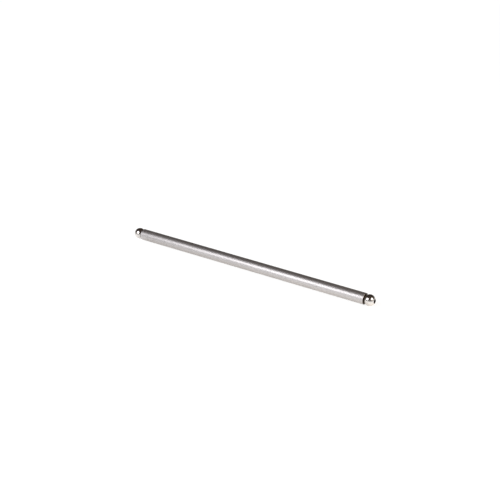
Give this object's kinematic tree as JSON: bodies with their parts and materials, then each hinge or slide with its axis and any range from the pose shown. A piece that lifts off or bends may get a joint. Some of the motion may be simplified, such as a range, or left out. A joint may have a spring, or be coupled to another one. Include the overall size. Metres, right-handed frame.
{
  "type": "engine pushrod",
  "caption": "Straight hollow steel rod with a polished, drilled ball on each end, which carries a valve lifter's motion and oil to the rocker arm of an engine.",
  "frame": {"origin": "on the rod's axis, half way between its two ends", "axes": "+X along the rod's axis, towards the rocker arm's ball; the rod is round about X, so Y and Z are alike"},
  "size_m": [0.198, 0.008, 0.008],
  "materials": {
    "ground_steel": "centreless-ground bare steel with a satin sheen",
    "polished_steel": "hardened bearing ball, polished to a mirror"
  },
  "bodies": {
    "root": {"tube": "ground_steel", "rocker_ball_end": "polished_steel", "lifter_ball_end": "polished_steel"}
  },
  "joints": []
}
